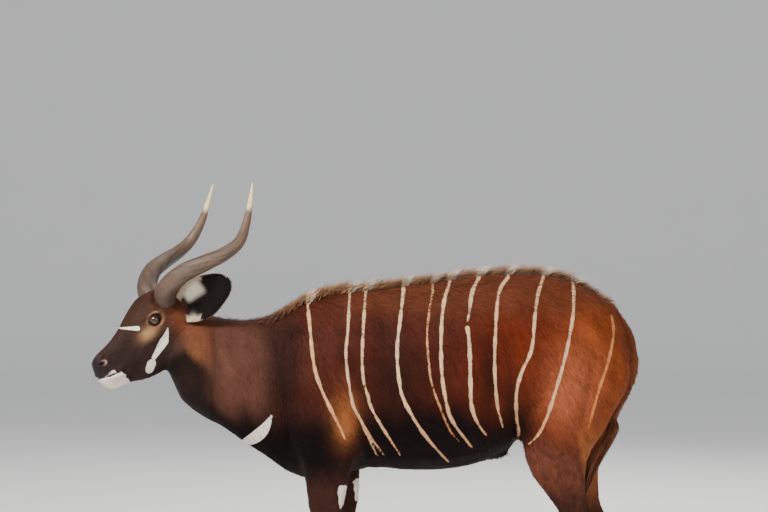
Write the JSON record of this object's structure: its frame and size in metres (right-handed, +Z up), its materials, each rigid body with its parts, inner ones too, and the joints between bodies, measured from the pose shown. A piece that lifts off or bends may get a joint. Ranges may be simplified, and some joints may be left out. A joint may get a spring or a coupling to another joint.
{
  "type": "bongo antelope",
  "caption": "A bongo bull, a striped forest antelope with loosely spiralled horns, standing still with its head turned aside: a life-size display animal.",
  "frame": {"origin": "on the floor, below the middle of the box round the whole animal", "axes": "+Z up, nose towards -X, the animal's left side towards -Y"},
  "size_m": [2.0412, 0.5516, 1.6399],
  "materials": {
    "trunk": "short chestnut coat with thin cream stripes, darker below",
    "neck": "dark brown coat, blackish at the throat",
    "head": "short blackish brown coat with white marks",
    "leg": "short dark brown coat with white patches",
    "ear": "dark, with a pale fringe",
    "tail": "short chestnut coat",
    "tail_tuft": "long blackish hair",
    "horn": "worn grey-brown horn with pale tips",
    "hoof": "dark horn, worn smooth",
    "eye": "wet, amber-brown iris"
  },
  "bodies": {
    "root": {"head": "head", "neck": "neck", "trunk": "trunk", "tail": "tail", "tail_tuft": "tail_tuft", "leg_front_left": "leg", "leg_front_right": "leg", "leg_hind_left": "leg", "leg_hind_right": "leg", "ear_left": "ear", "eye_left": "eye", "horn_left": "horn", "ear_right": "ear", "eye_right": "eye", "horn_right": "horn", "hoof_front_left_outer": "hoof", "dewclaw_front_left_outer": "hoof", "hoof_front_left_inner": "hoof", "dewclaw_front_left_inner": "hoof", "hoof_front_right_outer": "hoof", "dewclaw_front_right_outer": "hoof", "hoof_front_right_inner": "hoof", "dewclaw_front_right_inner": "hoof", "hoof_hind_left_outer": "hoof", "dewclaw_hind_left_outer": "hoof", "hoof_hind_left_inner": "hoof", "dewclaw_hind_left_inner": "hoof", "hoof_hind_right_outer": "hoof", "dewclaw_hind_right_outer": "hoof", "hoof_hind_right_inner": "hoof", "dewclaw_hind_right_inner": "hoof"}
  },
  "joints": []
}
